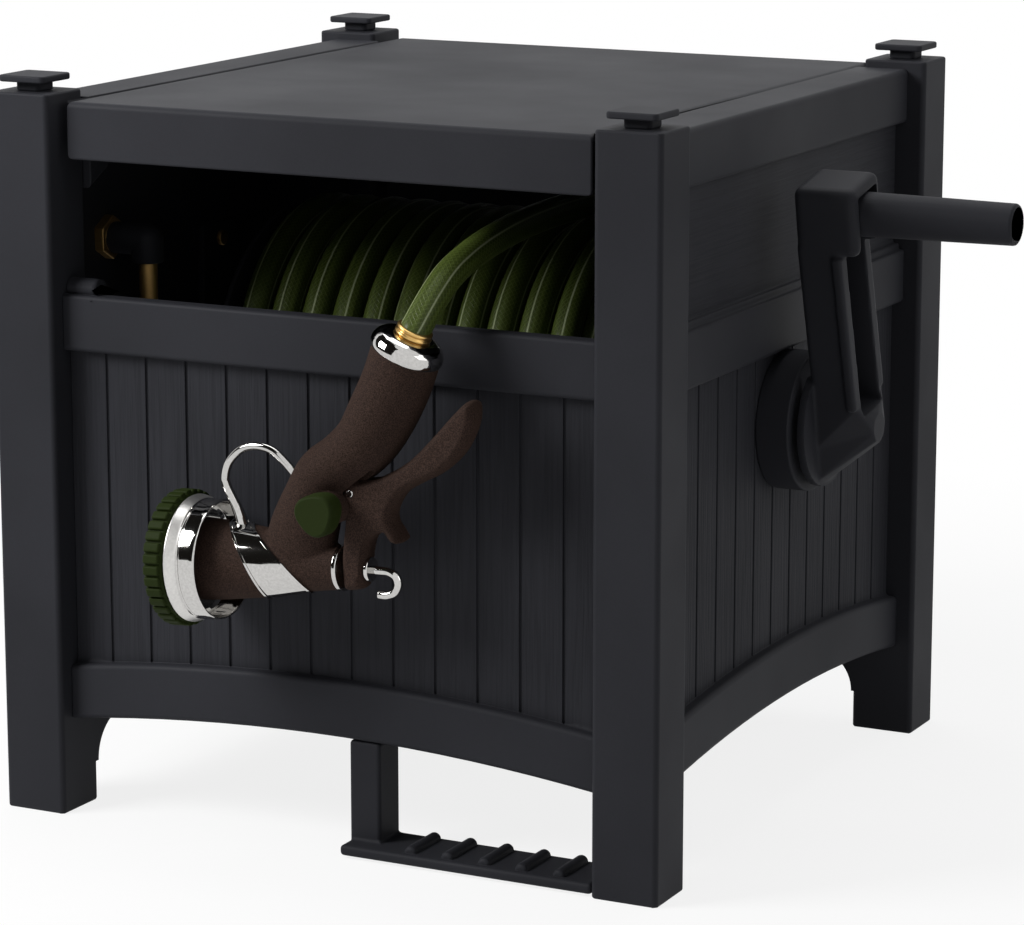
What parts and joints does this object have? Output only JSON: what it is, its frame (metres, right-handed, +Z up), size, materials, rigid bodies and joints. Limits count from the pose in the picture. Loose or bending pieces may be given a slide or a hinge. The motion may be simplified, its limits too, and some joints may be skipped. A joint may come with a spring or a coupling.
{
  "type": "hose reel box",
  "caption": "Square resin hose reel box on corner posts, with a side crank, a hinged lid, a foot step and a trigger spray nozzle on the hose.",
  "frame": {"origin": "on the floor, under the middle of the box and crank's bounds without the hose and nozzle", "axes": "+X to the crank, +Y to the back, +Z up; the hose mouth and nozzle face -Y"},
  "size_m": [0.7083, 0.6175, 0.554],
  "materials": {
    "charcoal": "fine grained charcoal resin",
    "steel": "plain",
    "brass": "turned brass",
    "seal": "black rubber",
    "hose": "glossy dark green with pale stripes",
    "chrome": "polished",
    "grip_rubber": "speckled dark brown soft grip",
    "dial_green": "dark green plastic"
  },
  "bodies": {
    "cabinet": {"post_front_left": "charcoal", "post_front_right": "charcoal", "post_rear_left": "charcoal", "post_rear_right": "charcoal", "post_caps": "charcoal", "front_panel": "charcoal", "rear_panel": "charcoal", "left_panel": "charcoal", "right_panel": "charcoal", "foot_step": "charcoal", "lid_hinge_pins": "steel", "crank_bearing": "charcoal", "swivel_bracket": "charcoal", "bracket_screws": "brass", "swivel_body": "brass", "swivel_seal": "seal", "inlet_fitting": "brass", "inlet_nut": "brass", "inlet_elbow": "charcoal", "inlet_pipe": "brass", "hose_lead": "hose", "hose_coupling": "brass", "nozzle_collar": "chrome", "nozzle_body": "grip_rubber", "nozzle_band": "chrome", "hang_loop": "chrome", "nozzle_bezel": "chrome", "barrel_ring": "chrome"},
    "lid": {"lid": "charcoal"},
    "reel": {"reel_drum": "charcoal", "left_flange": "charcoal", "right_flange": "charcoal", "swivel_tube": "brass", "drive_shaft": "steel", "hose_core": "hose", "hose_winding": "hose", "crank_arm": "charcoal", "crank_screw": "charcoal", "grip_pin": "steel"},
    "grip": {"crank_grip": "charcoal"},
    "trigger": {"trigger": "grip_rubber", "trigger_pin": "chrome"},
    "valve": {"valve_stem": "chrome"},
    "dial": {"pattern_dial": "dial_green"},
    "knob": {"flow_knob": "dial_green"}
  },
  "joints": [
    {"name": "lid_hinge", "type": "hinge", "parent": "cabinet", "child": "lid", "pos_m": [-0.08415, 0.246, 0.507], "axis": [-1, 0, 0], "range_deg": [0, 100]},
    {"name": "reel_turn", "type": "hinge", "parent": "cabinet", "child": "reel", "pos_m": [-0.08415, 0, 0.298], "axis": [1, 0, 0], "continuous": true},
    {"name": "grip_fold", "type": "hinge", "parent": "reel", "child": "grip", "pos_m": [0.21715, -0.03451, 0.46037], "axis": [0, 0.9781, 0.2079], "range_deg": [0, 90]},
    {"name": "trigger_pull", "type": "hinge", "parent": "cabinet", "child": "trigger", "pos_m": [-0.03195, -0.299, 0.28262], "axis": [0, -1, 0], "range_deg": [0, 10], "stiffness_Nm_per_rad": 3},
    {"name": "valve_slide", "type": "slide", "parent": "cabinet", "child": "valve", "axis": [0.9988, 0, 0.0489], "range_m": [0, 0.0102]},
    {"name": "dial_turn", "type": "hinge", "parent": "cabinet", "child": "dial", "pos_m": [-0.08415, -0.299, 0.224], "axis": [0.9988, 0, 0.0489], "continuous": true},
    {"name": "knob_turn", "type": "hinge", "parent": "cabinet", "child": "knob", "pos_m": [-0.04345, -0.299, 0.27205], "axis": [0, -1, 0], "range_deg": [0, 90]}
  ],
  "couplings": [
    {"joint": "valve_slide", "follows": "trigger_pull", "m_per_rad": 0.058}
  ]
}
